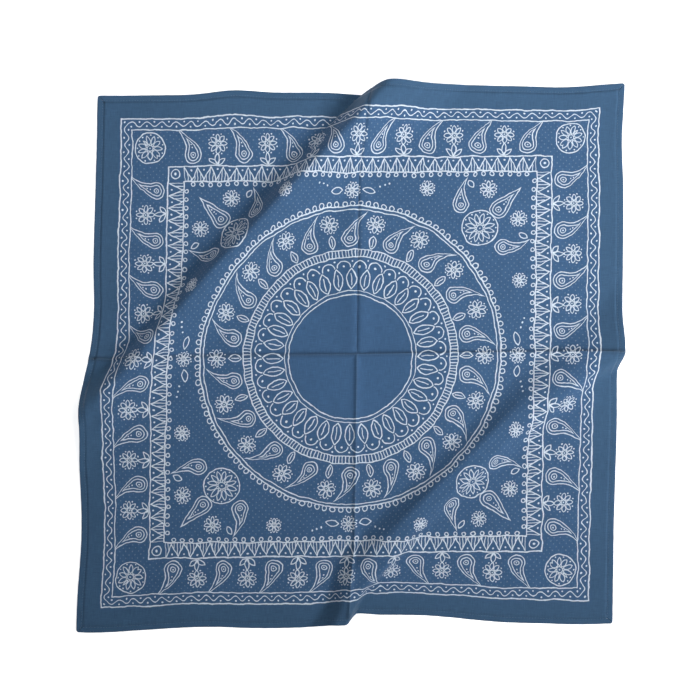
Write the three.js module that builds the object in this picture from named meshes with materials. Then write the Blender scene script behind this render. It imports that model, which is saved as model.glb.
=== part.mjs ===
// A square cotton bandana, unfolded from its packet and laid flat on a table.
// It is one square of thin cloth with a narrow hem turned in along each side. The creases of its
// quarter fold still show, and two soft ridges stand up across it, where it has more cloth than table.
// Millimetres, +Z up. The underside lies on z = 0, +X runs to the right side and +Y to the far side.
//
// A point of the cloth is named by where it lies on the flat, ironed square: u to the right and v to
// the far side, both from the middle. The function lay says where that point is on the table.
import * as THREE from "three";

// The cut
const SIDE = 560; // 22 inches, hem edge to hem edge
const HEM_WIDTH = 6.5;
const SEAM_GAP = 0.3;
const MITRE_GAP = 0.22; // each hem's share of the gap where two hems meet at a corner
const CLOTH_WALL = 1.2;
const HEM_WALL = 1.7; // the hem is turned twice, so it is thicker
const HALF = SIDE / 2;
const PANEL_HALF = HALF - HEM_WIDTH - SEAM_GAP;

// How it lies
const BIAS_STRETCH = 0.012; // the cloth is drawn out from lower left to upper right, and in across
const CREASE_AT = 4.5; // the quarter fold misses the middle by this much, both ways
const CREASE_HALF_WIDTH = 6;
const CREASE_HEIGHT = 1.3;
const SHOULDER_SHARE = 0.5; // height of a lying crease's shoulders, as a share of a standing one's
const SECTIONS_PER_HALF = 23; // sections from a hem to the crease's foot

// The ridges run from lower left to upper right. Each has a steep flank on its corner's side, a top
// and a longer slope towards the middle. along is measured along the ridge from the square's middle,
// foot across it, from the middle to the outer foot of the steep flank. steep is the flank's width on
// the table, crest how far in from that foot the slope starts, and slope the slope's own width. slide
// is how far the corner beyond has slipped along the ridge.
const UPPER_LEFT_RIDGE = {
  side: -1,
  slide: 6,
  sections: [
    { along: -230, foot: 171, steep: 25, crest: 12, slope: 64, height: 13 },
    { along: -140, foot: 173, steep: 19, crest: 10, slope: 68, height: 18.5 },
    { along: -20, foot: 179, steep: 17, crest: 9, slope: 74, height: 22 },
    { along: 90, foot: 181, steep: 15, crest: 8, slope: 74, height: 22.5 },
    { along: 170, foot: 184, steep: 12, crest: 7, slope: 70, height: 22.5 },
    { along: 225, foot: 188, steep: 9, crest: 6, slope: 66, height: 22 },
  ],
};
const LOWER_RIGHT_RIDGE = {
  side: 1,
  slide: -2.5,
  sections: [
    { along: -210, foot: 195, steep: 8, crest: 38, slope: 25, height: 15 },
    { along: -150, foot: 188, steep: 11, crest: 30, slope: 26, height: 13 },
    { along: -60, foot: 184, steep: 13, crest: 28, slope: 27, height: 11.5 },
    { along: 60, foot: 191, steep: 14, crest: 33, slope: 31, height: 11 },
    { along: 150, foot: 198, steep: 13, crest: 24, slope: 46, height: 11.5 },
    { along: 205, foot: 204, steep: 11, crest: 14, slope: 54, height: 12 },
  ],
};
const MARCH_STEP = 0.5;
const NORMAL_REACH = 1; // how far either side of a point the cloth's tilt is read

// The sides don't lie quite straight. Each row pulls a stretch of one side outwards, or inwards where
// pull is negative. at and reach are measured along the side, and the pull fades towards the middle.
const EDGE_PULLS = [
  { edge: "top", at: -139, reach: 32, pull: 4 },
  { edge: "top", at: -65, reach: 50, pull: 2.4 },
  { edge: "top", at: 150, reach: 40, pull: -1.5 },
  { edge: "top", at: 218, reach: 48, pull: -4 },
  { edge: "bottom", at: -255, reach: 30, pull: 1.6 },
  { edge: "bottom", at: -150, reach: 50, pull: -3 },
  { edge: "bottom", at: -34, reach: 50, pull: -2.6 },
  { edge: "bottom", at: 52, reach: 60, pull: -6.6 },
  { edge: "bottom", at: 122, reach: 40, pull: -2 },
  { edge: "bottom", at: 250, reach: 45, pull: 2 },
  { edge: "left", at: 40, reach: 45, pull: -3.2 },
  { edge: "left", at: -36, reach: 30, pull: 5.5 },
  { edge: "left", at: -185, reach: 48, pull: -4 },
  { edge: "right", at: 222, reach: 42, pull: -2.4 },
  { edge: "right", at: 8, reach: 24, pull: 3.6 },
  { edge: "right", at: -75, reach: 55, pull: 1.4 },
];
const PULL_DEPTH = 90;

const EDGES = {
  top: { x: 0, y: 1 },
  bottom: { x: 0, y: -1 },
  left: { x: -1, y: 0 },
  right: { x: 1, y: 0 },
};

const ease = (share) => {
  const s = THREE.MathUtils.clamp(share, 0, 1);
  return s * s * (3 - 2 * s);
};

// The ridge's sizes at a place along it, eased from one row of its table to the next
function sectionAt(ridge, along) {
  const rows = ridge.sections;
  const last = rows.length - 1;
  if (along <= rows[0].along) return rows[0];
  if (along >= rows[last].along) return rows[last];
  const next = rows.findIndex((row) => row.along > along);
  const from = rows[next - 1];
  const to = rows[next];
  const share = ease((along - from.along) / (to.along - from.along));
  const mixed = {};
  for (const column of ["foot", "steep", "crest", "slope", "height"]) {
    mixed[column] = THREE.MathUtils.lerp(from[column], to[column], share);
  }
  return mixed;
}

// Height of a ridge's section at a distance across from the square's middle
function ridgeHeight(section, across) {
  const inward = section.foot - across;
  const rise = ease(inward / section.steep);
  const fall = 1 - ease((inward - section.crest) / section.slope);
  return section.height * rise * fall;
}

// Where a length of cloth ends on the table, when it is laid out from the middle over the ridge
function acrossTable(section, clothLength) {
  let left = clothLength;
  let across = 0;
  while (left > 0) {
    const step = Math.min(left, MARCH_STEP);
    const rise = ridgeHeight(section, across + step) - ridgeHeight(section, across);
    across += (step * step) / Math.hypot(step, rise);
    left -= step;
  }
  return across;
}

// The creases of the quarter fold. The one from left to right stands up all the way. The one from
// near to far stands up on the near half and lies down between low shoulders on the far half.
const standingCrease = (offset) => CREASE_HEIGHT * Math.max(0, 1 - Math.abs(offset) / CREASE_HALF_WIDTH);
const lyingCrease = (offset) => SHOULDER_SHARE * standingCrease(Math.abs(offset) - CREASE_HALF_WIDTH);
function creaseHeight(u, v) {
  const upright = v < CREASE_AT ? standingCrease(u - CREASE_AT) : lyingCrease(u - CREASE_AT);
  return Math.max(standingCrease(v - CREASE_AT), upright);
}

function edgePull(u, v) {
  const moved = { x: 0, y: 0 };
  for (const row of EDGE_PULLS) {
    const edge = EDGES[row.edge];
    const outward = u * edge.x + v * edge.y;
    const alongEdge = u * Math.abs(edge.y) + v * Math.abs(edge.x);
    const nearEdge = ease(1 - (HALF - outward) / PULL_DEPTH);
    const amount = row.pull * nearEdge * Math.exp(-(((alongEdge - row.at) / row.reach) ** 2));
    moved.x += edge.x * amount;
    moved.y += edge.y * amount;
  }
  return moved;
}

// The place on the table of a point of the cloth's underside
function lay(u, v) {
  const cornerward = (u - v) / Math.SQRT2;
  let along = ((u + v) / Math.SQRT2) * (1 + BIAS_STRETCH);
  const ridge = cornerward < 0 ? UPPER_LEFT_RIDGE : LOWER_RIGHT_RIDGE;
  const section = sectionAt(ridge, along);
  const across = acrossTable(section, Math.abs(cornerward) * (1 - BIAS_STRETCH));
  const width = section.crest + section.slope;
  const slipped = ease((across - section.foot + width) / width);
  along += ridge.slide * slipped;
  const pull = edgePull(u, v);
  return new THREE.Vector3(
    (along + ridge.side * across) / Math.SQRT2 + pull.x,
    (along - ridge.side * across) / Math.SQRT2 + pull.y,
    ridgeHeight(section, across) + creaseHeight(u, v),
  );
}

// Which way the cloth's upper face looks at a point
function tiltAt(u, v) {
  const toRight = lay(u + NORMAL_REACH, v).sub(lay(u - NORMAL_REACH, v));
  const toFar = lay(u, v + NORMAL_REACH).sub(lay(u, v - NORMAL_REACH));
  return toRight.cross(toFar).normalize();
}

// A point of the cloth, lifted off the underside by a height along a tilt
const lifted = (u, v, tilt, lift) => lay(u, v).addScaledVector(tilt, lift);

// Sections of the cloth from one side to the other, with three along the crease
function sections(half) {
  const places = [];
  const creaseFoot = [CREASE_AT - CREASE_HALF_WIDTH, CREASE_AT + CREASE_HALF_WIDTH];
  for (let i = 0; i < SECTIONS_PER_HALF; i++) {
    places.push(THREE.MathUtils.lerp(-half, creaseFoot[0], i / SECTIONS_PER_HALF));
  }
  places.push(creaseFoot[0], CREASE_AT);
  for (let i = 0; i <= SECTIONS_PER_HALF; i++) {
    places.push(THREE.MathUtils.lerp(creaseFoot[1], half, i / SECTIONS_PER_HALF));
  }
  return places;
}

function meshOf(name, points, faces, material) {
  const geometry = new THREE.BufferGeometry().setFromPoints(points);
  geometry.setIndex(faces);
  geometry.computeVertexNormals();
  const mesh = new THREE.Mesh(geometry, material);
  mesh.name = name;
  return mesh;
}

const cotton = (color) => new THREE.MeshStandardMaterial({ color, roughness: 0.9, metalness: 0 });

// The square of cloth inside the hems: an upper and a lower face over the same sections, and a rim.
// Each cell is split along the ridges, so that their crests run straight.
function clothPanel() {
  const places = sections(PANEL_HALF);
  const count = places.length;
  const grid = places.flatMap((v) => places.map((u) => ({ u, v, tilt: tiltAt(u, v) })));
  const points = [];
  for (const lift of [CLOTH_WALL, 0]) {
    for (const { u, v, tilt } of grid) points.push(lifted(u, v, tilt, lift));
  }
  const top = (i, j) => j * count + i;
  const under = (i, j) => top(i, j) + count * count;
  const faces = [];
  for (let j = 0; j < count - 1; j++) {
    for (let i = 0; i < count - 1; i++) {
      faces.push(top(i, j), top(i + 1, j), top(i + 1, j + 1));
      faces.push(top(i, j), top(i + 1, j + 1), top(i, j + 1));
      faces.push(under(i, j), under(i + 1, j + 1), under(i + 1, j));
      faces.push(under(i, j), under(i, j + 1), under(i + 1, j + 1));
    }
  }
  const last = count - 1;
  const rim = (i, j, iNext, jNext) => {
    faces.push(under(i, j), under(iNext, jNext), top(iNext, jNext));
    faces.push(under(i, j), top(iNext, jNext), top(i, j));
  };
  for (let k = 0; k < last; k++) {
    rim(k, 0, k + 1, 0);
    rim(last, k, last, k + 1);
    rim(last - k, last, last - k - 1, last);
    rim(0, last - k, 0, last - k - 1);
  }
  return meshOf("cloth_panel", points, faces, cotton(0x3e5f86));
}

// The hem's section, round the fold at its outer edge. inset is from that edge, lift off the table.
// The last point is level with the panel's upper face, so that the two walls of the seam match.
const FOLD_ROUND = 0.5;
const HEM_SECTION = [
  { inset: HEM_WIDTH, lift: 0 },
  { inset: FOLD_ROUND, lift: 0 },
  { inset: 0, lift: HEM_WALL / 2 },
  { inset: FOLD_ROUND, lift: HEM_WALL },
  { inset: HEM_WIDTH, lift: HEM_WALL },
  { inset: HEM_WIDTH, lift: CLOTH_WALL },
];

// One hem, from mitre to mitre, with the cloth on its right. It follows the same sections as the panel
// and takes its tilt from the panel's rim, so that the seam keeps its gap over the ridges.
function hem(name, edge) {
  const heading = edge.y - edge.x;
  const shares = sections(PANEL_HALF).map((place) => (heading * place) / PANEL_HALF);
  if (heading < 0) shares.reverse();
  const round = HEM_SECTION.length;
  const placeOn = (outward, alongEdge) => [
    edge.x * outward + edge.y * alongEdge,
    edge.y * outward - edge.x * alongEdge,
  ];
  const points = [];
  for (const share of shares) {
    const tilt = tiltAt(...placeOn(PANEL_HALF, share * PANEL_HALF));
    for (const { inset, lift } of HEM_SECTION) {
      const outward = HALF - inset;
      points.push(lifted(...placeOn(outward, share * (outward - MITRE_GAP)), tilt, lift));
    }
  }
  const faces = [];
  for (let k = 0; k < shares.length - 1; k++) {
    for (let i = 0; i < round; i++) {
      const here = k * round + i;
      const beside = k * round + ((i + 1) % round);
      faces.push(here, beside, beside + round);
      faces.push(here, beside + round, here + round);
    }
  }
  const end = (shares.length - 1) * round;
  for (let i = 1; i < round - 1; i++) {
    faces.push(0, i + 1, i);
    faces.push(end, end + i, end + i + 1);
  }
  return meshOf(name, points, faces, cotton(0x385879));
}

const bandana = new THREE.Group();
bandana.add(clothPanel());
for (const [side, edge] of Object.entries(EDGES)) {
  bandana.add(hem(`hem_${side}`, edge));
}

// The origin is on the table, below the middle of the space that the bandana takes up
const middle = new THREE.Box3().setFromObject(bandana).getCenter(new THREE.Vector3());
bandana.position.set(-middle.x, -middle.y, 0);

export default bandana;
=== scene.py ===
# %% [markdown]
# # A cotton bandana, laid flat
# The real thing is one square of thin printed cotton, 560 mm a side, with a narrow hem stitched
# all round. It has come out of its packet and been laid on a table, so the creases of its quarter
# fold still show, and it has more cloth than table in two places, where it stands up in soft
# ridges that run from lower left to upper right.
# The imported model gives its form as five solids: the panel and its four hems. They are stiff and
# too thick, as solids have to be. Each is replaced here by thin cloth on the same form, which gets
# the finer folds, the stitches, the weave and the print.

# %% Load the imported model
import math

import bpy
import numpy as np
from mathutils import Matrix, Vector


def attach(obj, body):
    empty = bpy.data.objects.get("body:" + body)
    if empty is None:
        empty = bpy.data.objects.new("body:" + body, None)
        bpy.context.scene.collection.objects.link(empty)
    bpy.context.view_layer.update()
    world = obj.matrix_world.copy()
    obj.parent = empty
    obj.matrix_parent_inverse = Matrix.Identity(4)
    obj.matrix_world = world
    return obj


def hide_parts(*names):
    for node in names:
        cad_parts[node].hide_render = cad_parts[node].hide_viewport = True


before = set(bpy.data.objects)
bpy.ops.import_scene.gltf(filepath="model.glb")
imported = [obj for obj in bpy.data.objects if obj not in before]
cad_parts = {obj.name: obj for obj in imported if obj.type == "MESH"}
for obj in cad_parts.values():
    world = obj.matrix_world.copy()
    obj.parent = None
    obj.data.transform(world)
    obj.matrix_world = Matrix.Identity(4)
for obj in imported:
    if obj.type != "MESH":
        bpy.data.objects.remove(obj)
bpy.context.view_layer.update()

print("nodes:", sorted(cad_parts))

# %% [markdown]
# ## Measures
# Cloth is measured in millimetres, flat and ironed: u runs to the right side and v to the far side,
# both from the middle of the square. A point keeps its u and v wherever the folds carry it, so the
# same two numbers place the folds, the stitches and the print. Only the finished meshes are turned
# into metres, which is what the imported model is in.

# %% The cut, and how it lies
MM = 0.001
SIDE = 560.0
HALF = SIDE / 2
HEM_WIDTH = 6.5
BIAS_STRETCH = 0.012
CREASE_U = 6.4  # where the pressed line from near to far crosses u
CREASE_V = 2.8  # where the one from left to right crosses v
MARCH_STEP = 0.5
PULL_DEPTH = 90.0
MIDDLE_SHIFT = (0.14, 1.02)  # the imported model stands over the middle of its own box

SMALL = 1e-9  # keeps a division away from zero

RIDGE_COLUMNS = ("along", "foot", "steep", "crest", "slope", "height", "bluff")
UPPER_LEFT_RIDGE = {
    "side": -1,
    "slide": 6.0,
    "sections": [
        (-230, 171, 26, 11, 52, 15, 0.15),
        (-140, 174, 22, 9, 56, 21.5, 0.15),
        (-20, 181, 22, 8, 60, 25, 0.15),
        (90, 184, 21, 8, 60, 25.5, 0.15),
        (170, 183, 18, 9, 58, 25, 0.4),
        (225, 179, 12, 14, 56, 24.5, 1.0),
    ],
}
LOWER_RIGHT_RIDGE = {
    "side": 1,
    "slide": -2.5,
    "sections": [
        (-212, 201, 7, 12, 24, 15.5, 0.2),
        (-150, 189, 12, 26, 27, 12.5, 0.1),
        (-60, 185, 18, 24, 28, 12, 0),
        (60, 192, 19, 28, 31, 11.5, 0),
        (150, 198, 16, 22, 42, 11, 0.1),
        (205, 204, 12, 14, 54, 11, 0.2),
    ],
}
EDGES = {"top": (0, 1), "bottom": (0, -1), "left": (-1, 0), "right": (1, 0)}
EDGE_PULLS = {  # where along the edge, how far it reaches, how far it pulls outwards
    "top": [(-139, 32, 4.4), (-65, 50, 2.4), (38, 24, 2.0), (150, 40, -1.5), (218, 48, -4.0)],
    "bottom": [
        (-255, 30, 1.6),
        (-150, 50, -3.0),
        (-34, 44, -1.0),
        (22, 15, -2.0),
        (60, 62, -8.2),
        (122, 40, -2.0),
        (250, 45, 2.0),
    ],
    "left": [(40, 45, -2.2), (-36, 30, 5.5), (-136, 32, -1.6), (-185, 48, -4.0)],
    "right": [(222, 42, -2.4), (8, 24, 3.6), (-75, 55, 1.4)],
}
places = sum(len(pulls) for pulls in EDGE_PULLS.values())
print(f"{SIDE:.0f} mm square, {places} places where its sides are drawn in or out")

# %% [markdown]
# ## Where the cloth lies
# Real cloth could be dropped on the table by a simulation, but then its folds would fall by chance
# and not where the photograph has them. So each ridge is a section that changes along its length:
# where its steep flank stands, how wide its two sides are, how high it is, and how much the flank
# bulges over its own foot (bluff). The cloth is marched over that section from the middle
# outwards, half a millimetre at a time, and comes down as far away as its own length allows. That
# way the corners draw in by what the ridges take up, just as they do when a real cloth is pushed
# together.


# %% The two ridges
def ease(share):
    s = np.clip(share, 0, 1)
    return s * s * (3 - 2 * s)


def section_at(ridge, along):
    rows = np.array(ridge["sections"], float)
    places = rows[:, 0]
    before = np.clip(np.searchsorted(places, along) - 1, 0, len(places) - 2)
    share = ease((along - places[before]) / (places[before + 1] - places[before]))
    return {
        name: rows[before, k] + share * (rows[before + 1, k] - rows[before, k])
        for k, name in enumerate(RIDGE_COLUMNS)
        if name != "along"
    }


def ridge_height(section, across):
    inward = section["foot"] - across
    share = np.clip(inward / section["steep"], 0, 1)
    bluff = np.sqrt(1 - (1 - share) ** 2)
    rise = ease(share) + section["bluff"] * (bluff - ease(share))
    fall = 1 - ease((inward - section["crest"]) / section["slope"])
    return section["height"] * rise * fall


def across_table(section, cloth_length):
    left = cloth_length.copy()
    across = np.zeros_like(left)
    while left.size and left.max() > 0:
        step = np.clip(left, 0, MARCH_STEP)
        rise = ridge_height(section, across + step) - ridge_height(section, across)
        across += step * step / np.maximum(np.hypot(step, rise), SMALL)
        left -= step
    return across


def edge_pull(u, v):
    moved_x, moved_y = np.zeros_like(u), np.zeros_like(u)
    for name, pulls in EDGE_PULLS.items():
        x, y = EDGES[name]
        near_edge = ease(1 - (HALF - (u * x + v * y)) / PULL_DEPTH)
        along_edge = u * abs(y) + v * abs(x)
        for place, reach, pull in pulls:
            amount = pull * near_edge * np.exp(-(((along_edge - place) / reach) ** 2))
            moved_x += x * amount
            moved_y += y * amount
    return moved_x, moved_y


# %% [markdown]
# ## Creases, buckles and slack
# Three smaller things give cloth its look. The quarter fold left a pressed line each way: most of
# it stands up as a narrow fold, and the far half of the line from near to far lies down as a
# groove between two low shoulders. Beside the ridges the cloth buckles in shorter folds. And
# nowhere does it lie quite flat, because a woven cloth is never slack by the same amount
# everywhere. A pressed line is drawn as a sharp section, a buckle as a soft one that swells and
# fades along its length, and the slack as a few long waves added together.

# %% The pressed lines and the smaller folds
PRESS_HEIGHT = 3.0
PRESS_REACH = 2.5
GROOVE_DEPTH = 2.3
GROOVE_REACH = 2.1
SWELL_HEIGHT = 2.4
SWELL_REACH = 12.0
BUCKLE_FADE = 0.3  # share of a buckle's length over which each of its ends fades
BUCKLE_BEAT = 2.2  # a buckle swells and sinks over this many of its half widths

BUCKLES = [  # from u, v, to u, v, half width, height, how uneven
    (-22, 174, -164, 32, 5.5, 1.5, 0.30),
    (2, 216, -96, 118, 4.5, 0.7, 0.40),
    (-205, -17, -264, -76, 6.0, 1.6, 0.30),
    (-200, 20, -272, -50, 6.0, 2.2, 0.30),
    (-232, 26, -276, -14, 5.0, -1.2, 0.30),
    (-265, 4, -274, -70, 3.2, 1.0, 0.20),
    (-238, -44, -276, -92, 5.0, 1.0, 0.40),
    (214, -12, 20, -206, 6.0, 1.3, 0.25),
    (232, -32, 96, -158, 4.5, -0.7, 0.35),
    (70, -192, 4, -252, 5.0, 1.2, 0.30),
    (16, 262, 70, 232, 7.0, 1.2, 0.30),
    (90, 250, 190, 236, 9.0, 0.6, 0.50),
    (262, 96, 236, 180, 9.0, 0.5, 0.50),
    (-262, 130, -240, 216, 8.0, 0.6, 0.50),
    (-230, -150, -262, -226, 8.0, 0.7, 0.50),
    (-120, -252, -30, -236, 9.0, 0.6, 0.50),
    (130, -262, 214, -240, 8.0, 0.6, 0.50),
]
SLACK_WAVES = 14
SLACK_HEIGHT = 0.42
SLACK_LENGTHS = (46, 150)
slack_random = np.random.default_rng(4)
slack_waves = [
    (
        slack_random.uniform(0, math.pi),
        slack_random.uniform(*SLACK_LENGTHS),
        slack_random.uniform(0, 2 * math.pi),
    )
    for _ in range(SLACK_WAVES)
]


def standing(offset):
    return PRESS_HEIGHT * np.exp(-np.abs(offset) / PRESS_REACH)


def lying(offset):
    groove = GROOVE_DEPTH * np.exp(-np.abs(offset) / GROOVE_REACH)
    return SWELL_HEIGHT * np.exp(-((offset / SWELL_REACH) ** 2)) - groove


def pressed(u, v):
    near_to_far = np.where(v < CREASE_V, standing(u - CREASE_U), lying(u - CREASE_U))
    return np.maximum(standing(v - CREASE_V), near_to_far)


def buckled(u, v):
    height = np.zeros_like(u)
    for u0, v0, u1, v1, half_width, rise, uneven in BUCKLES:
        length = math.hypot(u1 - u0, v1 - v0)
        run, side = (u1 - u0) / length, (v1 - v0) / length
        along = (u - u0) * run + (v - v0) * side
        bow = half_width * np.sin(along * math.pi / length) * uneven
        off = (v - v0) * run - (u - u0) * side - bow
        share = along / length
        swell = 1 + uneven * np.sin(along / (BUCKLE_BEAT * half_width) + u0)
        ends = ease(share / BUCKLE_FADE) * ease((1 - share) / BUCKLE_FADE)
        height += rise * swell * ends * np.exp(-((off / half_width) ** 2))
    return height


def slack(u, v):
    height = np.zeros_like(u)
    for heading, length, start in slack_waves:
        place = u * math.cos(heading) + v * math.sin(heading)
        height += np.sin(2 * math.pi * place / length + start)
    return SLACK_HEIGHT * (1 + height / math.sqrt(SLACK_WAVES))


def lay(u, v):
    """The place on the table, in mm, of points of the cloth's underside."""
    cornerward = (u - v) / math.sqrt(2)
    along = (u + v) / math.sqrt(2) * (1 + BIAS_STRETCH)
    length = np.abs(cornerward) * (1 - BIAS_STRETCH)
    x, y, z = np.zeros_like(u), np.zeros_like(u), np.zeros_like(u)
    for ridge, here in (
        (UPPER_LEFT_RIDGE, cornerward < 0),
        (LOWER_RIGHT_RIDGE, cornerward >= 0),
    ):
        section = section_at(ridge, along[here])
        across = across_table(section, length[here])
        width = section["crest"] + section["slope"]
        slipped = ease((across - section["foot"] + width) / width)
        slid = along[here] + ridge["slide"] * slipped
        x[here] = (slid + ridge["side"] * across) / math.sqrt(2)
        y[here] = (slid - ridge["side"] * across) / math.sqrt(2)
        z[here] = ridge_height(section, across)
    pull_x, pull_y = edge_pull(u, v)
    low = pressed(u, v) + buckled(u, v) + slack(u, v)
    x, y = x + pull_x + MIDDLE_SHIFT[0], y + pull_y + MIDDLE_SHIFT[1]
    return np.stack([x, y, np.maximum(z + low, 0)], axis=-1)


NORMAL_REACH = 0.8


def laid_with_normals(u, v):
    """Points of the cloth's underside, and which way its upper face looks there."""
    place = lay(u, v)
    right = lay(u + NORMAL_REACH, v) - place
    far = lay(u, v + NORMAL_REACH) - place
    normal = np.cross(right, far)
    return place, normal / np.linalg.norm(normal, axis=-1, keepdims=True)


probe = lay(np.array([-HALF, 0, HALF]), np.array([HALF, 0, -HALF]))
print("corners and middle lie at, mm:", probe.round(1).tolist())

# %% [markdown]
# ## The cloth panel
# A sheet can be a plane with a Solidify modifier, but its edge has to tuck under the hem and its
# cells have to be small where the pressed lines are, so it is laid out here as two grids, upper
# face and underside, over the same stations, with a rim between them. The stations are about 3 mm
# apart, and close in to 0.5 mm beside the pressed lines. Each point keeps its u and v in the UV
# map called cut, which the weave and the print follow. A second map, for baking the looks into a
# picture, gives most of the picture to the printed face.

# %% Lay out the panel
CLOTH_WALL = 0.42
REST = 0.12  # lint and thread ends hold the cloth this far off the table
PANEL_TUCK = 0.3  # the panel reaches this far under the hem's inner edge
PANEL_HALF = HALF - HEM_WIDTH + PANEL_TUCK
STATION_PITCH = 2.9
PRESS_STATIONS = [0.0, 0.5, 1.1, 1.9, 2.9, 3.4, 3.9, 5.0, 6.8]
HEM_RISE = 0.4  # the panel climbs this much on to the hem's turnings
HEM_RISE_WIDTH = 9.0
CUT_MAP = "cut"
BAKE_MAP = "OFBake"
UPPER_PATCH = (0.005, 0.72)  # start and size of the upper face in the baked picture, both ways
UNDER_PATCH = (0.735, 0.26)


def stations(half, crease):
    near = sorted({crease + s * d for d in PRESS_STATIONS for s in (-1, 1)})
    left = np.linspace(-half, near[0], round((near[0] + half) / STATION_PITCH) + 1)
    right = np.linspace(near[-1], half, round((half - near[-1]) / STATION_PITCH) + 1)
    return np.concatenate([left[:-1], near, right[1:]])


def cloth_mesh(name, points, faces, cut, materials, under_from=None):
    """A closed piece of cloth in metres, with its place on the flat cloth as a UV map."""
    mesh = bpy.data.meshes.new(name)
    mesh.from_pydata((points * MM).tolist(), [], faces)
    corners = np.empty(len(mesh.loops), np.int32)
    mesh.loops.foreach_get("vertex_index", corners)
    flat = cut[corners] / SIDE + 0.5
    mesh.uv_layers.new(name=CUT_MAP).data.foreach_set("uv", flat.ravel())
    for material in materials:
        mesh.materials.append(material)
    if under_from is not None:
        slots = np.zeros(len(mesh.polygons), np.int32)
        slots[under_from:] = 1
        mesh.polygons.foreach_set("material_index", slots)
        below = np.repeat(slots, 4)[:, None] == 1
        patch = np.where(below, np.array(UNDER_PATCH), np.array(UPPER_PATCH))
        baked = patch[:, :1] + flat * patch[:, 1:]
        mesh.uv_layers.new(name=BAKE_MAP).data.foreach_set("uv", baked.ravel())
    mesh.polygons.foreach_set("use_smooth", np.ones(len(mesh.polygons), bool))
    mesh.update()
    piece = bpy.data.objects.new(name, mesh)
    bpy.context.scene.collection.objects.link(piece)
    return piece


across_stations = stations(PANEL_HALF, CREASE_U)
up_stations = stations(PANEL_HALF, CREASE_V)
columns, rows = len(across_stations), len(up_stations)
u, v = (grid.ravel() for grid in np.meshgrid(across_stations, up_stations))
cut = np.stack([u, v], axis=-1)
from_edge = PANEL_HALF - np.maximum(np.abs(u), np.abs(v))
lift = REST + HEM_RISE * ease(1 - from_edge / HEM_RISE_WIDTH)
laid, normals = laid_with_normals(u, v)
under = laid + normals * lift[:, None]
upper = under + normals * CLOTH_WALL
index = np.arange(rows * columns).reshape(rows, columns)
a, b = index[:-1, :-1].ravel(), index[:-1, 1:].ravel()
c, d = index[1:, 1:].ravel(), index[1:, :-1].ravel()
top_faces = np.stack([a, b, c, d], axis=-1)
under_faces = top_faces[:, ::-1] + index.size
loop = np.concatenate([index[0, :-1], index[:-1, -1], index[-1, :0:-1], index[:0:-1, 0]])
after = np.roll(loop, -1)
rim = np.stack([loop + index.size, after + index.size, after, loop], axis=-1)
panel_parts = (
    np.concatenate([upper, under]),
    np.concatenate([top_faces, rim, under_faces]),
    np.concatenate([cut, cut]),
    len(top_faces) + len(rim),
)
print(f"panel: {columns} x {rows} stations, {2 * len(panel_parts[1])} triangles")

# %% [markdown]
# ## The hems
# Each side is turned in twice and stitched, which makes a strip 6.5 mm wide and three cloths
# thick, with a rounded outer edge. A curve with a bevel would make the strip, but its section
# would twist over the ridges. So the section is a short table of points, round the strip, and it
# is carried along the side with the same laying function as the panel. The thread draws the strip
# in a little between stitches: the edge wavers, and a shallow groove runs under the stitch line.

# %% Lay out the four hems
HEM_STATION_PITCH = 2.0
HEM_SECTION = [  # inset from the outer edge, lift off the table
    (6.9, 0.42),
    (6.6, 0.16),
    (4.6, 0.10),
    (2.4, 0.12),
    (0.7, 0.14),
    (0.16, 0.32),
    (0.0, 0.58),
    (0.18, 0.84),
    (0.8, 0.98),
    (2.2, 1.04),
    (3.9, 1.03),
    (4.9, 0.97),
    (5.4, 0.92),
    (5.9, 0.94),
    (6.5, 0.93),
    (6.9, 0.78),
]
MITRE_GAP = 0.03  # between two hems where they meet at a corner
CORNER_ROUND = {(-1, 1): 2.6, (1, 1): 2.0, (1, -1): 2.4, (-1, -1): 2.8}
WAVER = 0.07
WAVER_LENGTHS = (12.9, 31.0, 57.0)
WAVER_UP = 0.4  # how much of the waver is up and down
WAVER_FADE = 0.03  # share of the side over which the waver fades towards each corner
WAVER_START = 6.28  # how far round its cycle a wave may start
hem_random = np.random.default_rng(11)


def rounded(u, v):
    """Draws the outer corner of the square in to a small round."""
    for (right, far), radius in CORNER_ROUND.items():
        out_u = u * right - (HALF - radius)
        out_v = v * far - (HALF - radius)
        inside = (out_u > 0) & (out_v > 0)
        reach = np.hypot(out_u, out_v)
        share = np.where(inside, np.maximum(out_u, out_v) / np.maximum(reach, SMALL), 1)
        u = np.where(inside, right * (HALF - radius + out_u * share), u)
        v = np.where(inside, far * (HALF - radius + out_v * share), v)
    return u, v


def wavering(places, amount):
    """An uneven wave along a hem, from three waves of unlike length."""
    total = np.zeros_like(places)
    for length in WAVER_LENGTHS:
        total += np.sin(2 * math.pi * places / length + hem_random.uniform(0, WAVER_START))
    return amount * total / math.sqrt(len(WAVER_LENGTHS))


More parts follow.
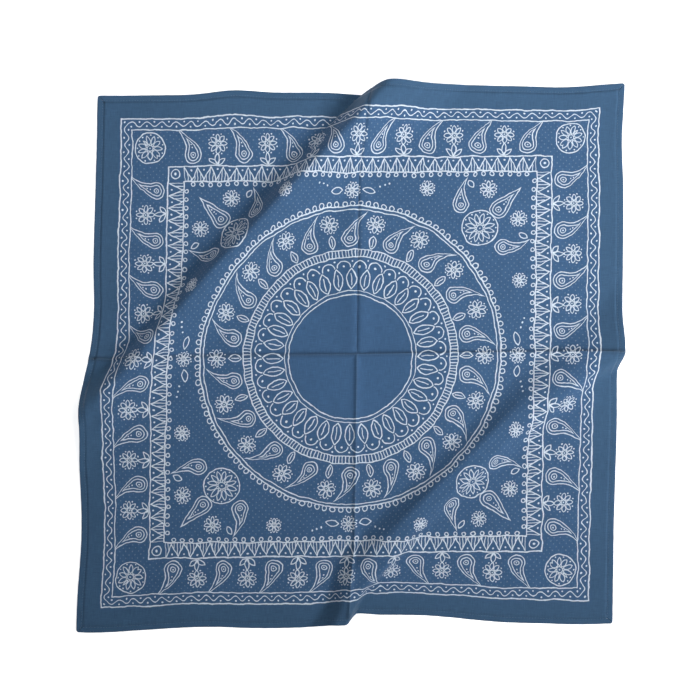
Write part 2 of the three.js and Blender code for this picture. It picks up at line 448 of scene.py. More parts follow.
def hem_parts(edge):
    x, y = edge
    shares = np.linspace(-1, 1, round(SIDE / HEM_STATION_PITCH) + 1)
    inset, lift = np.array(HEM_SECTION).T
    out_waver = wavering(shares * HALF, WAVER)[:, None]
    up_waver = wavering(shares * HALF, WAVER * WAVER_UP)[:, None]
    share_from_edge = ease(1 - inset / HEM_WIDTH)
    ends = ease((1 - np.abs(shares)) / WAVER_FADE)[:, None]
    outward = HALF - inset - out_waver * share_from_edge * ends
    along = shares[:, None] * (HALF - inset - MITRE_GAP)
    height = lift + np.abs(up_waver) * (lift / max(lift)) * ends
    u, v = rounded((x * outward + y * along).ravel(), (y * outward - x * along).ravel())
    points, normals = laid_with_normals(u, v)
    points = points + normals * height.ravel()[:, None]
    index = np.arange(u.size).reshape(len(shares), len(inset))
    here, beside = index[:-1], np.roll(index, -1, axis=1)[:-1]
    nxt, nxt_beside = index[1:], np.roll(index, -1, axis=1)[1:]
    sides = np.stack([here, beside, nxt_beside, nxt], axis=-1).reshape(-1, 4)
    caps = [index[0][::-1].tolist(), index[-1].tolist()]
    return points, sides, caps, np.stack([u, v], axis=-1)


hems_laid = {name: hem_parts(edge) for name, edge in EDGES.items()}
print("hems:", {name: len(parts[1]) for name, parts in hems_laid.items()}, "faces")

# %% [markdown]
# ## The way to write a pattern as nodes
# Weave, dye and print are all worked out from a point's place on the cloth, with shader nodes, so
# they need no image and stay sharp at any distance. A pattern of that kind is a long sum of small
# steps, and adding each Math node by hand would bury it. The class below holds one number that
# changes over the cloth and lets it be added, multiplied and compared in plain Python, where each
# sign adds the Math node that does it.


# %% A number that changes over the cloth
class Field:
    def __init__(self, tree, socket):
        self.tree, self.socket = tree, socket

    def step(self, operation, *others):
        inputs = dict(enumerate((self, *others)))
        node = add_node(self.tree, "ShaderNodeMath", inputs, operation=operation)
        return Field(self.tree, node.outputs[0])

    def __add__(self, other):
        return self.step("ADD", other)

    def __sub__(self, other):
        return self.step("SUBTRACT", other)

    def __rsub__(self, other):
        return self.step("MULTIPLY_ADD", -1.0, other)

    def __mul__(self, other):
        return self.step("MULTIPLY", other)

    def __truediv__(self, other):
        return self.step("DIVIDE", other)


def connect(tree, node, inputs):
    """Links or sets a node's inputs, each by its name or number."""
    for label, value in inputs.items():
        value = value.socket if isinstance(value, Field) else value
        if isinstance(value, bpy.types.NodeSocket):
            tree.links.new(value, node.inputs[label])
        else:
            node.inputs[label].default_value = value
    return node


def add_node(tree, kind, inputs, **settings):
    node = tree.nodes.new(kind)
    for label, value in settings.items():
        setattr(node, label, value)
    return connect(tree, node, inputs)


def size(x):
    return x.step("ABSOLUTE")


def least(first, *others):
    for other in others:
        first = first.step("MINIMUM", other)
    return first


def most(first, *others):
    for other in others:
        first = first.step("MAXIMUM", other)
    return first


def nearest(x, pitch):
    """How far x is from the nearest of a row of places that far apart."""
    return x.step("WRAP", pitch / 2, -pitch / 2)


def far(x, y):
    join = add_node(x.tree, "ShaderNodeCombineXYZ", {0: x, 1: y})
    length = add_node(x.tree, "ShaderNodeVectorMath", {0: join.outputs[0]}, operation="LENGTH")
    return Field(x.tree, length.outputs["Value"])


def band(x, low, high):
    """Below zero between low and high."""
    return size(x - (low + high) / 2) - (high - low) / 2


def turned(x, y, angle):
    c, s = math.cos(angle), math.sin(angle)
    return x * c - y * s, x * s + y * c


def group_of(name, inputs, outputs):
    """An empty shader node group with those sockets: (group, its input node, its output node)."""
    group = bpy.data.node_groups.new(name, "ShaderNodeTree")
    for label, kind, value in inputs:
        socket = group.interface.new_socket(label, in_out="INPUT", socket_type=kind)
        if value is not None:
            socket.default_value = value
    for label, kind in outputs:
        group.interface.new_socket(label, in_out="OUTPUT", socket_type=kind)
    return group, group.nodes.new("NodeGroupInput"), group.nodes.new("NodeGroupOutput")


def parts_of(tree, vector_socket):
    split = add_node(tree, "ShaderNodeSeparateXYZ", {0: vector_socket})
    return [Field(tree, socket) for socket in split.outputs]


def noise(tree, place, scale, detail=2.0, rough=0.5, stretch=None):
    """A noise texture at a place on the cloth: (its value, its colour as a vector socket)."""
    if stretch:
        stretched = add_node(tree, "ShaderNodeMapping", {"Scale": stretch, "Vector": place})
        place = stretched.outputs[0]
    inputs = {"Scale": scale, "Detail": detail, "Roughness": rough, "Vector": place}
    node = add_node(tree, "ShaderNodeTexNoise", inputs)
    return Field(tree, node.outputs["Fac"]), node.outputs["Color"]


def vector_step(tree, operation, inputs):
    return add_node(tree, "ShaderNodeVectorMath", inputs, operation=operation).outputs[0]


def mixed(tree, share, first, second):
    inputs = {"Factor": share, "A": first, "B": second}
    return add_node(tree, "ShaderNodeMix", inputs, data_type="RGBA").outputs["Result"]


NOISE_MIDDLE = 0.5
FLOAT, VECTOR, COLOR = "NodeSocketFloat", "NodeSocketVector", "NodeSocketColor"
PLACE = ("Place", VECTOR, None)
print("helpers for node groups are ready")

# %% [markdown]
# ## The print's motifs
# The print is white line work on the blue: flowers, drops, leaves, dots and hatching, as bandanas
# of this kind have, drawn by hand and a little uneven. It could be painted as a picture, but a
# picture blurs in a close view. Instead each motif is a distance: how far a point of the cloth is
# from the motif's edge. A line is then drawn where that distance is less than half the line's
# width, and the least of all the distances is the whole drawing.


# %% Motifs as distances
HATCH_LINE = 0.7
FINE_LINE = 0.75
VEIN_LINE = 0.8
THIN_LINE = 0.85
LINE = 0.9
FIRM_LINE = 1.0
RULE = 1.2
PIP = 0.66  # the dots, from small to large, by their radius
DOT = 0.85
BOLD_DOT = 0.9

DROP_LINING = 3.0  # how far inside a drop its second line runs
DROP_EYE = 0.3  # the ring in its round end, as a share of that end's radius
DROP_EYE_DOT = 0.72
DROP_PIPS_FROM = 0.6  # where its row of pips starts, as a share of the same radius
DROP_PIPS_INSET = 4.4
DROP_PIPS_PITCH = 3.2
DROP_PIPS_START = 1.0
PETAL_FOOT = 0.3  # this and the next four are shares of a flower's radius
PETAL_LENGTH = 0.7
PETAL_WIDTHS = 1.6  # of all its petals together
PETAL_TIP = 1.06
HEART = 0.24
HEART_DOT = 0.7


def stroke(distance, line=LINE):
    return size(distance) - line / 2


def spot(x, y, radius):
    return far(x, y) - radius


def leaf(x, y, length, half_width):
    radius = (length**2 / 4 + half_width**2) / (2 * half_width)
    return far(size(x) + (radius - half_width), y - length / 2) - radius


def drop(x, y, radius, height):
    """Round at the origin, pointed at height."""
    lean = radius / height
    upright = math.sqrt(1 - lean * lean)
    x = size(x)
    side = x * upright + y * lean - radius
    on_side = (y * upright).step("GREATER_THAN", x * lean)
    foot = far(x, y) - radius
    return foot + (side - foot) * on_side


def bent_drop(x, y, radius, height, bend):
    reach = most(y, 0.0)
    bent = x - reach * reach * bend
    edge = drop(bent, y, radius, height)
    lines = least(stroke(edge), stroke(edge + DROP_LINING, THIN_LINE))
    eye = far(x, y)
    lines = least(lines, stroke(eye - radius * DROP_EYE, FINE_LINE), eye - DROP_EYE_DOT)
    pips = spot(bent, nearest(y - DROP_PIPS_START, DROP_PIPS_PITCH), PIP)
    return least(lines, most(pips, radius * DROP_PIPS_FROM - y, edge + DROP_PIPS_INSET))


def around(x, y, count, shift=0.0):
    """Places round a ring, folded on to one of count spokes: (sideways, outwards, angle, radius)."""
    pitch = 2 * math.pi / count
    angle = nearest(x.step("ARCTAN2", y) + shift * pitch, pitch)
    radius = far(x, y)
    return radius * angle.step("SINE"), radius * angle.step("COSINE"), angle, radius


def rosette(x, y, count, radius):
    side, out, angle, r = around(x, y, count)
    width = radius * PETAL_WIDTHS / count
    petal = leaf(side, out - radius * PETAL_FOOT, radius * PETAL_LENGTH, width)
    between = (size(angle) - math.pi / count) * radius
    tips = spot(r - radius * PETAL_TIP, between, PIP)
    heart = least(stroke(r - radius * HEART, FINE_LINE), r - HEART_DOT)
    return least(stroke(petal, FINE_LINE), heart, tips)


# %% [markdown]
# ## The print's layout
# A ring of petals, drops and flowers stands round a bare middle, sprays fill the corners, and two
# borders run round the square outside it, with a plain margin to the hem. The layout is the same
# on all four sides and in all four corners, so a point is first folded on to one of them: one
# drawn flower then serves eight places. A stipple of fine dots lies behind. Each motif's nodes are
# added just before it joins the drawing, which keeps few numbers waiting when Cycles works the
# group out.


# %% Lay the rings round the middle
WOBBLES = [(0.055, 4.2), (0.2, 1.5)]  # how fine a wobble is, how many mm it moves a line
DROP_ASIDE = 1.5  # a bent drop stands this far off its line, to look centred on it

# each rule's place, in mm from the middle, and its line
RING_RULES = {64: LINE, 67.8: FINE_LINE, 103.2: FIRM_LINE, 110.8: FIRM_LINE, 152: FIRM_LINE, 155.6: RULE}
RING = {  # mm from the middle; where there are two, from one to the other
    "petal": 69.5,
    "petal_vein": (73, 86),
    "petal_dot": 99.4,
    "scallop": 92.5,
    "scallop_foot": 92.2,
    "scallop_dot": 93.6,
    "spokes": (103.2, 110.8),
    "drop": 122.3,
    "drops": (112, 151.8),
    "flower": 138.2,
    "leaf": 112.6,
    "leaf_vein": (115, 123),
    "loop": 158.2,
    "loop_foot": 155.6,
}


def wobble(tree, place, x, y):
    for scale, amount in WOBBLES:
        _, colour = noise(tree, place, scale, detail=1.0)
        shift = parts_of(tree, colour)
        x = x + (shift[0] - NOISE_MIDDLE) * amount
        y = y + (shift[1] - NOISE_MIDDLE) * amount
    return x, y


def ring_layout(x, y, draw):
    r = far(x, y)
    for radius, line in RING_RULES.items():
        draw(stroke(r - radius, line))
    side, out, *_ = around(x, y, count=36)
    petal = leaf(side, out - RING["petal"], length=21.5, half_width=4.9)
    draw(stroke(petal, FIRM_LINE))
    draw(most(stroke(side, THIN_LINE), band(r, *RING["petal_vein"])))
    draw(spot(side, out - RING["petal_dot"], DOT))
    side, out, *_ = around(x, y, count=36, shift=0.5)
    scallop = spot(side, out - RING["scallop"], radius=6.7)
    draw(most(stroke(scallop, FIRM_LINE), RING["scallop_foot"] - r))
    draw(spot(side, out - RING["scallop_dot"], radius=1.1))
    side, out, *_ = around(x, y, count=200)
    draw(most(stroke(side, THIN_LINE), band(r, *RING["spokes"])))
    side, out, *_ = around(x, y, count=18)
    side = side + DROP_ASIDE
    one_drop = bent_drop(side, out - RING["drop"], radius=8.2, height=26, bend=0.024)
    draw(most(one_drop, band(r, *RING["drops"])))
    side, out, *_ = around(x, y, count=18, shift=0.5)
    draw(rosette(side, out - RING["flower"], count=8, radius=9.0))
    draw(stroke(leaf(side, out - RING["leaf"], length=13.5, half_width=3.2)))
    draw(most(stroke(side, VEIN_LINE), band(r, *RING["leaf_vein"])))
    side, out, *_ = around(x, y, count=120)
    loop = spot(side, out - RING["loop"], radius=2.4)
    draw(most(stroke(loop), RING["loop_foot"] - r))
    return r


print("rings:", len(RING_RULES), "rules, out to", RING["loop"], "mm")

# %% [markdown]
# ## The print's borders
# The outer border is a wave with dots between two rules, then a row of drops and flowers. The
# inner one is a band of hatched teeth with small loops along its inner side. Both turn the corner
# at a motif of its own: a large flower outside, a ringed dot inside.


# %% Lay the borders
BORDER_RULES = {255: RULE, 243.4: FIRM_LINE, 205.8: RULE, 190: RULE}
BORDER = {  # mm from the middle, outwards; where there are two, from one to the other
    "wave": 249.2,
    "wave_band": (244, 255),
    "inner_dot": 246.7,
    "outer_dot": 251.8,
    "drop": 217.6,
    "drops": (207, 243),
    "flower": 228,
    "leaves": 207.2,
    "corner_flower": 225,
    "tooth": 197.9,
    "teeth": (190, 205.8),
    "tooth_dot": 202,
    "corner_dot": 198,
    "loop": 187,
    "loop_foot": 190,
}
ROW_END = {"drops": 206, "flowers": 182, "teeth": 189, "loops": 184}  # mm along the side
WAVE_PITCH = 15
WAVE_HEIGHT = 2.4
ROW_PITCH = 52
TOOTH_PITCH = 13
TOOTH_HEIGHT = 12.8
TOOTH_LEAN = 0.46  # a step outwards leads this much of a step away from a tooth's slanting side
HATCH_PITCH = 3.2
LOOP_PITCH = 9.0


def border_layout(a, b, draw):
    for place, line in BORDER_RULES.items():
        draw(stroke(a - place, line))
    beat = (b * (2 * math.pi / WAVE_PITCH)).step("SINE")
    wave = a - BORDER["wave"] - beat * WAVE_HEIGHT
    draw(most(stroke(wave, FIRM_LINE), band(a, *BORDER["wave_band"])))
    draw(spot(nearest(b - WAVE_PITCH / 4, WAVE_PITCH), a - BORDER["inner_dot"], DOT))
    draw(spot(nearest(b - WAVE_PITCH * 3 / 4, WAVE_PITCH), a - BORDER["outer_dot"], DOT))

    in_row = most(band(a, *BORDER["drops"]), b - ROW_END["drops"])
    aside = nearest(b - ROW_PITCH / 2, ROW_PITCH) + DROP_ASIDE
    one_drop = bent_drop(aside, a - BORDER["drop"], radius=8.4, height=27.5, bend=0.022)
    draw(most(one_drop, in_row))
    aside, up = nearest(b, ROW_PITCH), a - BORDER["leaves"]
    row_end = b - ROW_END["flowers"]
    draw(most(rosette(aside, a - BORDER["flower"], count=8, radius=9.4), row_end))
    draw(most(stroke(leaf(aside, up, length=11.5, half_width=2.2)), row_end))
    x, y = turned(size(aside), up, angle=0.9)
    draw(most(stroke(leaf(x, y, length=10, half_width=2.0)), row_end))
    corner = a - BORDER["corner_flower"], b - BORDER["corner_flower"]
    draw(rosette(*corner, count=10, radius=13.0))
    draw(stroke(spot(*corner, radius=15.8), FIRM_LINE))

    across = size(nearest(b, TOOTH_PITCH))
    side = across * (TOOTH_HEIGHT / (TOOTH_PITCH / 2)) - TOOTH_HEIGHT / 2
    tooth = ((a - BORDER["tooth"]) - side) * TOOTH_LEAN
    in_band = most(band(a, *BORDER["teeth"]), b - ROW_END["teeth"])
    draw(most(stroke(tooth, FIRM_LINE), in_band))
    draw(most(stroke(nearest(b, HATCH_PITCH), HATCH_LINE), in_band, tooth))
    tooth_dot = spot(nearest(b, TOOTH_PITCH), a - BORDER["tooth_dot"], BOLD_DOT)
    draw(most(tooth_dot, b - ROW_END["teeth"]))
    corner = a - BORDER["corner_dot"], b - BORDER["corner_dot"]
    draw(stroke(spot(*corner, radius=4.6), FIRM_LINE), spot(*corner, radius=1.3))
    loop = spot(nearest(b, LOOP_PITCH), a - BORDER["loop"], radius=1.9)
    draw(most(stroke(loop), a - BORDER["loop_foot"], b - ROW_END["loops"]))


print("borders:", len(BORDER_RULES), "rules")

# %% [markdown]
# ## The print's corners, and the drawing as one
# A spray of flowers, drops and leaves stands in each corner between the rings and the inner
# border, and a flower with a leaf and a trail of dots in the middle of each side. Rings, borders
# and corners then join into one node group, which gives the lines and the stipple behind them.


# %% Draw the print
SPRAY_MEDAL = 186  # on the corner's diagonal, mm outwards
SPRAY_DROP = 213.5
SPRAY_SIDE_DROP = (31, 189, 1.02)  # mm aside from the diagonal, mm outwards, angle
SPRAY_LEAF = (34, 211, 1.35)
SPRAY_FLOWERS = [(22, 221, 8.0), (68, 177, 7.4)]  # mm aside, mm outwards, radius
SIDE_FLOWER = 172.4  # in the middle of each side, mm outwards
SIDE_LEAF = (10.5, 172.4, 1.75)
SIDE_DOTS = [(28, 176), (33, 177.5), (38, 178.5)]

INK_SOFTNESS = 0.5
STIPPLE_PITCH = 6.6
STIPPLE_SCALE = 0.7  # x + y and x - y both grow faster than the distance does
STIPPLE_CLEARANCE = 1.7
STIPPLE_ROW = (207.5, 242)  # where dots may stand, mm from the middle
STIPPLE_RING = (112, 151)
STIPPLE_CORNERS = (161.5, 184)  # from that far round the middle, to that far outwards


def seen_from(place, x, y):
    aside, outwards, angle = place
    return turned(x - aside, y - outwards, angle)


def corner_layout(x, y, a, b, draw):
    ax, ay = size(x), size(y)
    d, e = (ax + ay) / math.sqrt(2), size(ax - ay) / math.sqrt(2)
    medal = d - SPRAY_MEDAL, e
    draw(rosette(*medal, count=12, radius=15.2), stroke(spot(*medal, radius=18.2), FIRM_LINE))
    draw(bent_drop(e, d - SPRAY_DROP, radius=8.8, height=31, bend=0.0))
    lx, ly = seen_from(SPRAY_SIDE_DROP, e, d)
    draw(bent_drop(lx, ly, radius=8.2, height=25, bend=-0.02))
    for aside, outwards, radius in SPRAY_FLOWERS:
        draw(rosette(e - aside, d - outwards, 8, radius))
    draw(stroke(leaf(*seen_from(SPRAY_LEAF, e, d), length=9, half_width=2.3)))
    draw(rosette(b, a - SIDE_FLOWER, count=8, radius=7.8))
    draw(stroke(leaf(*seen_from(SIDE_LEAF, b, a), length=13, half_width=3.0)))
    for aside, outwards in SIDE_DOTS:
        draw(spot(b - aside, a - outwards, BOLD_DOT))


def soft_edge(distance, soft=INK_SOFTNESS):
    """1 inside, 0 outside, and a half on the edge itself."""
    ink = 0.5 - distance / soft
    ink.socket.node.use_clamp = True
    return ink


def print_group():
    gives = [("Lines", FLOAT), ("Stipple", FLOAT)]
    group, given, out = group_of("hand_drawn_print", [PLACE], gives)
    place = given.outputs["Place"]
    x, y, _ = parts_of(group, place)
    x, y = wobble(group, place, x, y)
    drawing = []

    def draw(*marks):
        for mark in marks:
            drawing[:] = [least(drawing[0], mark) if drawing else mark]

    r = ring_layout(x, y, draw)
    ax, ay = size(x), size(y)
    a, b = most(ax, ay), least(ax, ay)
    border_layout(a, b, draw)
    corner_layout(x, y, a, b, draw)
    lines = drawing[0]
    dots = spot(nearest(x + y, STIPPLE_PITCH), nearest(x - y, STIPPLE_PITCH), DOT)
    start, end = STIPPLE_CORNERS
    places = least(band(a, *STIPPLE_ROW), most(a - end, start - r), band(r, *STIPPLE_RING))
    stipple = most(dots * STIPPLE_SCALE, places, STIPPLE_CLEARANCE - lines)
    connect(group, out, {"Lines": soft_edge(lines), "Stipple": soft_edge(stipple)})
    return group


hand_drawn_print = print_group()
print(f"print: {len(hand_drawn_print.nodes)} nodes")

# %% [markdown]
# ## Weave
# The cloth is plain weave, about 70 threads to the inch each way, so a thread comes every
# 0.36 mm. Each thread goes over one and under the next, which makes a chequer of tiny pillows,
# long along the warp on one and along the weft on the next. Real yarn is uneven, so threads swell
# and thin along their length: that is what shows as fine streaks both ways from farther off. Hem
# and panel are the same cloth, so the weave is a node group, placed in each material.


# %% Build the weave
THREAD_PITCH = 0.36
WARP_STREAKS = (2.2, 0.09, 1.0)  # close together across the threads, long along them
WEFT_STREAKS = (0.09, 2.2, 1.0)
SLUB_HEIGHT = 0.8
SLUB_SHADE = 0.7
PILLOW_SHADE = 0.16
LOW_SHADE = 0.92


def weave_group():
    takes = [PLACE, ("Thread", FLOAT, THREAD_PITCH)]
    group, given, out = group_of("plain_weave", takes, [("Height", FLOAT), ("Shade", FLOAT)])
    place = given.outputs["Place"]
    u, v, _ = parts_of(group, place)
    thread = Field(group, given.outputs["Thread"])
    warp = (u / thread * math.pi).step("SINE")
    weft = (v / thread * math.pi).step("SINE")
    over = (warp * weft).step("GREATER_THAN", 0.0)
    warp, weft = size(warp), size(weft)
    warp_pillow = warp * weft.step("SQRT")
    weft_pillow = weft * warp.step("SQRT")
    pillow = weft_pillow + (warp_pillow - weft_pillow) * over
    warp_slub, _ = noise(group, place, scale=1.0, detail=3.0, rough=0.6, stretch=WARP_STREAKS)
    weft_slub, _ = noise(group, place, scale=1.0, detail=3.0, rough=0.6, stretch=WEFT_STREAKS)
    slub = warp_slub + weft_slub - 2 * NOISE_MIDDLE
    shade = slub * SLUB_SHADE + pillow * PILLOW_SHADE + LOW_SHADE
    connect(group, out, {"Height": pillow + slub * SLUB_HEIGHT, "Shade": shade})
    return group


plain_weave = weave_group()
print(f"weave: {len(plain_weave.nodes)} nodes")

# %% [markdown]
# ## Dye, wear, and painted shade at the pressed lines
# Piece-dyed cotton isn't one even blue. It clouds a little over a hand's breadth. Beside a pressed
# line the blue is darkened by painted shade, standing in for the shade in and beside the fold: most
# along the line from left to right, on its left half and on the far side of its right half. On the
# line itself the blue is lighter, partly from rubbed dye and partly as a painted highlight along the
# fold's crest. Along the outer edge the threads have rubbed in the packet, so dye has gone from their
# tops. The plain margin is a little greyer than the printed square. The group gives a blue that does
# all of this, from the place on the cloth alone.


# %% Build the dye
BLUE = (0.0362, 0.0905, 0.1865, 1.0)
WORN_BLUE = (0.085, 0.155, 0.265, 1.0)
MARGIN = {"reach": 24.0, "soft": 4.0}  # mm in from the edge, and over how many mm it ends
MARGIN_TONE = (0.0, -0.04, -0.12)
# the lighter line on each pressed line: rubbed dye, and a painted highlight along the fold's crest
LINE_WEAR_AND_HIGHLIGHT = {"reach": 0.55, "soft": 0.9}
WORN_EDGE = {"reach": 0.35, "soft": 0.7}
# painted shade beside the pressed lines, from left to right and from near to far
PAINTED_SHADE_BESIDE_V = {"reach": 1.4, "soft": 7.0}
PAINTED_SHADE_BESIDE_U = {"reach": 1.0, "soft": 5.0}
NEAR_TO_FAR_THINNER = 1.6
LEAST_RUBBED = 0.3
# how strongly painted shade darkens the blue beside the pressed lines, by where it lies
PAINTED_CREASE_SHADE = {"all": 0.4, "left": 0.3, "far right": 0.45, "near to far": 0.2}
CLOUDS = 0.2
FINE_CLOUDS = 0.14


def within(distance, reach, soft):
    return soft_edge(distance - reach, soft)


def dye_group():
    takes = [PLACE, ("Blue", COLOR, BLUE), ("Worn Blue", COLOR, WORN_BLUE), ("Wear", FLOAT, 0.3)]
    group, given, out = group_of("dyed_blue", takes, [("Color", COLOR)])
    place = given.outputs["Place"]
    u, v, _ = parts_of(group, place)
    broad, _ = noise(group, place, scale=0.011, detail=3.0, rough=0.5)
    fine, _ = noise(group, place, scale=0.16, detail=4.0, rough=0.62)
    rubbed, _ = noise(group, place, scale=0.5, detail=2.0, rough=0.6)
    off_u, off_v = size(u - CREASE_U), size(v - CREASE_V)
    edge = HALF - most(size(u), size(v))
    # on the pressed lines the blue lightens from rubbed dye and a painted highlight on the crest; along
    # the outer edge, from rubbed dye only
    at_line = within(least(off_u * NEAR_TO_FAR_THINNER, off_v), **LINE_WEAR_AND_HIGHLIGHT)
    tops = most(at_line, within(edge, **WORN_EDGE))
    wear_and_highlight = tops * (rubbed + LEAST_RUBBED) * Field(group, given.outputs["Wear"])
    # painted shade beside the pressed lines, strongest on the left half and on the far side of the right
    # half
    left = u.step("LESS_THAN", CREASE_U)
    far_right = v.step("GREATER_THAN", CREASE_V) * (1.0 - left)
    shade_beside_v, shade_beside_u = within(off_v, **PAINTED_SHADE_BESIDE_V), within(off_u, **PAINTED_SHADE_BESIDE_U)
    amount = left * PAINTED_CREASE_SHADE["left"] + far_right * PAINTED_CREASE_SHADE["far right"] + PAINTED_CREASE_SHADE["all"]
    painted_shade = shade_beside_v * shade_beside_v * amount
    painted_shade = most(painted_shade, shade_beside_u * shade_beside_u * PAINTED_CREASE_SHADE["near to far"])
    clouds = (broad - NOISE_MIDDLE) * CLOUDS + (fine - NOISE_MIDDLE) * FINE_CLOUDS
    blue = mixed(group, wear_and_highlight, given.outputs["Blue"], given.outputs["Worn Blue"])
    margin = {0: within(edge, **MARGIN), 1: MARGIN_TONE, 2: (1, 1, 1)}
    tone = vector_step(group, "MULTIPLY_ADD", margin)
    toned = vector_step(group, "MULTIPLY", {0: blue, 1: tone})
    shaded = {0: toned, "Scale": clouds + 1.0 - painted_shade}
    connect(group, out, {"Color": vector_step(group, "SCALE", shaded)})
    return group


dyed_blue = dye_group()
print(f"dye: {len(dyed_blue.nodes)} nodes")

# %% [markdown]
# ## The cotton's materials
# The upper side, the underside and the hem are one cloth, so one function makes all three. They
# differ in how much of the print they carry: all of it above, a pale ghost of it below where the
# ink has struck through, and none on the hem, which lies in the plain margin. Cotton is matt, with
# a little sheen from its loose fibres. The print is ink that has sunk in, so it shows the weave
# too and is no glossier than the cloth round it.


# %% Make the cotton
UNDER_BLUE = (0.052, 0.108, 0.193, 1.0)
INK = (0.62, 0.69, 0.77, 1.0)
INK_COVER = 0.5  # share of the ink that hides the weave's shade
WEAVE_DEPTH = 0.00005
WEAVE_BUMP = 0.6
ROUGHEST = 1.06
SHADE_GLOSS = 0.2
COTTON = {"Specular IOR Level": 0.22, "Sheen Weight": 0.12, "Sheen Roughness": 0.45}


def placed(tree, group, place, **values):
    inputs = {label.replace("_", " "): value for label, value in values.items()}
    return add_node(tree, "ShaderNodeGroup", {"Place": place, **inputs}, node_tree=group)


def place_on_cloth(tree):
    """The point's u and v in millimetres, read from the cut map."""
    cut_map = add_node(tree, "ShaderNodeUVMap", {}, uv_map=CUT_MAP)
    to_mm = {"Location": (-HALF, -HALF, 0), "Scale": (SIDE, SIDE, 1), "Vector": cut_map.outputs[0]}
    return add_node(tree, "ShaderNodeMapping", to_mm).outputs[0]


def new_material(name):
    material = bpy.data.materials.new(name)
    material.use_nodes = True
    tree = material.node_tree
    return material, tree, tree.nodes["Principled BSDF"]


def cotton(name, blue=BLUE, line_strength=0.0, stipple_strength=0.0, wear=0.5):
    material, tree, shader = new_material(name)
    place = place_on_cloth(tree)
    weave = placed(tree, plain_weave, place)
    dye = placed(tree, dyed_blue, place, Blue=blue, Worn_Blue=WORN_BLUE, Wear=wear)
    shade = Field(tree, weave.outputs["Shade"])
    colour = dye.outputs["Color"]
    if line_strength:
        drawn = placed(tree, hand_drawn_print, place)
        lines = Field(tree, drawn.outputs["Lines"]) * line_strength
        stipple = Field(tree, drawn.outputs["Stipple"]) * stipple_strength
        sunk = most(lines, stipple) * (shade * (1 - INK_COVER) + INK_COVER)
        colour = mixed(tree, sunk, colour, INK)
    depth = {"Distance": WEAVE_DEPTH, "Strength": WEAVE_BUMP, "Height": weave.outputs["Height"]}
    look = {
        "Base Color": vector_step(tree, "SCALE", {0: colour, "Scale": shade}),
        "Roughness": ROUGHEST - shade * SHADE_GLOSS,
        "Normal": add_node(tree, "ShaderNodeBump", depth).outputs["Normal"],
    }
    connect(tree, shader, {**look, **COTTON})
    return material


printed_cotton = cotton("printed_cotton", line_strength=0.9, stipple_strength=0.13)
under_cotton = cotton("under_cotton", UNDER_BLUE, line_strength=0.2, stipple_strength=0.05)
hem_cotton = cotton("hem_cotton", wear=0.9)
print("materials:", printed_cotton.name, under_cotton.name, hem_cotton.name)

# %% [markdown]
# ## The panel and the hems become objects
# The points that were laid out above are made into meshes once their materials exist. Each stays
# at the origin, unturned and unscaled, with its place in its own points, so that the pattern and
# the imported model's frame agree.

# %% Put the cotton on the panel and the hems
points, faces, cut, under_from = panel_parts
cottons = [printed_cotton, under_cotton]
cloth = cloth_mesh("cloth", points, faces.tolist(), cut, cottons, under_from)
hems = {}
for name, (points, sides, caps, cut) in hems_laid.items():
    faces = sides.tolist() + caps
    hems[name] = cloth_mesh(f"hem_{name}_turned", points, faces, cut, [hem_cotton])
print("pieces:", cloth.name, [hem.name for hem in hems.values()])

# %% [markdown]
# ## The stitches
# Each hem is held by a row of lockstitch, about nine stitches to the inch, a little in from the
# strip's inner edge. It shows as short beads of thread on both faces, each sunk where the needle
# went through. One bead is shaped from a sphere and copied along the hem, turned to the way the
# cloth lies there, because a painted row of dashes would look flat from the side.

# %% Shape one stitch and lay the rows
STITCH_PITCH = 2.9
STITCH_LENGTH = 2.25
THREAD = 0.4
STITCH_INSET = 5.4
STITCH_END = 1.5  # how far before the corner's own stitch line a row stops
STITCH_WAVER = 0.08
THREAD_CLEARANCE = 0.03  # a stitch never sinks lower over the table than this
STITCH_LIFTS = (0.9, 0.2)  # over the table: on the hem's upper face and on its underside

bpy.ops.object.select_all(action="DESELECT")
bpy.ops.mesh.primitive_uv_sphere_add(segments=6, ring_count=5, radius=0.5)
bead = bpy.context.active_object
bead.rotation_euler = (0, math.pi / 2, 0)
bpy.ops.object.transform_apply(location=False, rotation=True, scale=False)
bead.scale = (STITCH_LENGTH, THREAD, THREAD)
bpy.ops.object.transform_apply(location=False, rotation=False, scale=True)
bead_points = np.array([vertex.co for vertex in bead.data.vertices])
bead_faces = [list(face.vertices) for face in bead.data.polygons]
bpy.data.meshes.remove(bead.data)


def stitch_row(edge, lift):
    """Stitches along a hem, as points, faces and places on the flat cloth."""
    x, y = edge
    half = HALF - STITCH_INSET - STITCH_END
    along = np.arange(-half, half, STITCH_PITCH)
    out = HALF - STITCH_INSET + wavering(along, STITCH_WAVER)
    u, v = x * out + y * along, y * out - x * along
    place, normal = laid_with_normals(u, v)
    ahead = lay(u + y, v - x) - place
    ahead /= np.linalg.norm(ahead, axis=-1, keepdims=True)
    beside = np.cross(normal, ahead)
    axes = np.stack([ahead, beside, normal], axis=1)
    centre = place + normal * lift
    points = centre[:, None] + np.einsum("pk,nkc->npc", bead_points, axes)
    sunk = np.minimum(points[..., 2].min(axis=1) - THREAD_CLEARANCE, 0)
    points[..., 2] -= sunk[:, None]
    cut = np.stack([u, v], axis=-1)[:, None] + bead_points[None, :, :2] @ [[y, -x], [x, y]]
    faces = [
        [index + k * len(bead_points) for index in face]
        for k in range(len(along))
        for face in bead_faces
    ]
    return points.reshape(-1, 3), faces, cut.reshape(-1, 2)


THREAD_BLUE = (0.038, 0.092, 0.186, 1.0)
TWIST_PITCH = 0.55
TWIST_DEPTH = 0.00006
THREAD_ROUGH = 0.62
TWIST_GLOSS = 0.08
THREAD_SHEEN = 0.2


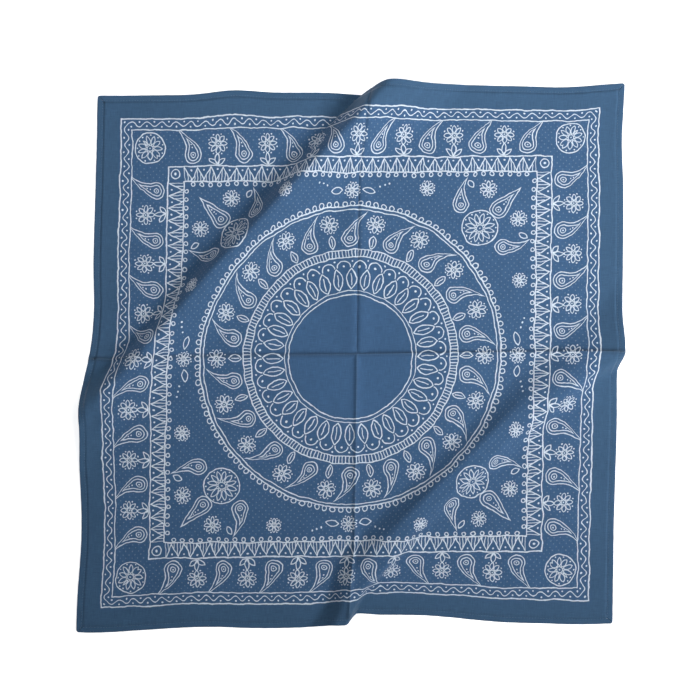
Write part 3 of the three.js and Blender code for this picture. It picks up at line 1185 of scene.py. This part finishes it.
def thread_material():
    material, tree, shader = new_material("sewing_thread")
    place = place_on_cloth(tree)
    dye = placed(tree, dyed_blue, place, Blue=THREAD_BLUE, Worn_Blue=WORN_BLUE, Wear=0.2)
    u, v, _ = parts_of(tree, place)
    twist = ((u + v) * (2 * math.pi / TWIST_PITCH)).step("SINE")
    bump = add_node(tree, "ShaderNodeBump", {"Distance": TWIST_DEPTH, "Height": twist})
    look = {
        "Base Color": dye.outputs["Color"],
        "Roughness": THREAD_ROUGH - twist * TWIST_GLOSS,
        "Normal": bump.outputs["Normal"],
        "Sheen Weight": THREAD_SHEEN,
    }
    connect(tree, shader, look)
    return material


thread = thread_material()
stitches = {}
for name, edge in EDGES.items():
    rows = [stitch_row(edge, lift) for lift in STITCH_LIFTS]
    second = [[index + len(rows[0][0]) for index in face] for face in rows[1][1]]
    stitches[name] = cloth_mesh(
        f"hem_{name}_stitches",
        np.concatenate([row[0] for row in rows]),
        rows[0][1] + second,
        np.concatenate([row[2] for row in rows]),
        [thread],
    )
print("stitches:", {name: len(row.data.polygons) for name, row in stitches.items()}, "faces")

# %% [markdown]
# ## Light, floor and camera
# The real one was photographed from straight above, on white. A softbox a metre wide stands on the
# near right, aimed at the far right, which is why that corner is the brightest and the flanks that
# look to the far left are dark. A smaller, weaker one over the far left keeps those flanks from
# going black, and a third, very weak, lifts the far right a little more. The floor is pale and
# glows a little, as a lit white sweep does.

# %% Light, floor and camera
FLOOR_SIDE = 6.0
FLOOR = {
    "Base Color": (0.9, 0.9, 0.9, 1),
    "Roughness": 0.9,
    "Emission Color": (1, 1, 1, 1),
    "Emission Strength": 0.6,
}
ROOM = {"Color": (1, 1, 1, 1), "Strength": 0.09}
LIGHTS = [  # name, place, aim, watts, width, spread in degrees
    ("key_right", (1.75, -0.8, 1.6), (0.3, 0.5, 0), 11.7, 1.0, 60),
    ("fill_far_left", (-0.65, 0.6, 1.4), (-0.1, 0.2, 0), 8.6, 0.8, 180),
    ("glow_far_right", (0.6, 0.6, 1.4), (0.2, 0.25, 0), 0.6, 0.5, 50),
]
CAMERA_PLACE = (-0.0005, 0.0082, 1.3)
FRAME_WIDTH = 0.7231
SENSOR = 36.0

bpy.ops.object.select_all(action="DESELECT")
bpy.ops.mesh.primitive_plane_add(size=FLOOR_SIDE, location=(0, 0, 0))
floor = bpy.context.active_object
floor.name = "floor"
paper, paper_tree, paper_shader = new_material("pale_floor")
connect(paper_tree, paper_shader, FLOOR)
floor.data.materials.append(paper)

scene = bpy.context.scene
scene.view_settings.view_transform = "Standard"
scene.view_settings.look = "None"
world = bpy.data.worlds.new("soft_room")
world.use_nodes = True
connect(world.node_tree, world.node_tree.nodes["Background"], ROOM)
scene.world = world

for name, place, aim, watts, width, spread in LIGHTS:
    light = bpy.data.lights.new(name, "AREA")
    light.energy = watts
    light.shape = "SQUARE"
    light.size = width
    light.spread = math.radians(spread)
    lamp = bpy.data.objects.new(name, light)
    scene.collection.objects.link(lamp)
    lamp.location = place
    lamp.rotation_euler = (Vector(aim) - Vector(place)).to_track_quat("-Z", "Y").to_euler()

camera_data = bpy.data.cameras.new("camera")
camera_data.sensor_width = SENSOR
camera_data.lens = SENSOR * CAMERA_PLACE[2] / FRAME_WIDTH
camera = bpy.data.objects.new("camera", camera_data)
scene.collection.objects.link(camera)
camera.location = CAMERA_PLACE
scene.camera = camera
print("lights:", [name for name, *_ in LIGHTS], "frame, m:", FRAME_WIDTH)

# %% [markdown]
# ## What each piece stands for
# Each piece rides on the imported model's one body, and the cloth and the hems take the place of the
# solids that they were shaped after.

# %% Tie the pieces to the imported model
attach(cloth, "root")
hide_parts("cloth_panel")
for name, hem in hems.items():
    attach(hem, "root")
    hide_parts(f"hem_{name}")
    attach(stitches[name], "root")
print("tied:", 1 + len(hems) + len(stitches), "pieces")
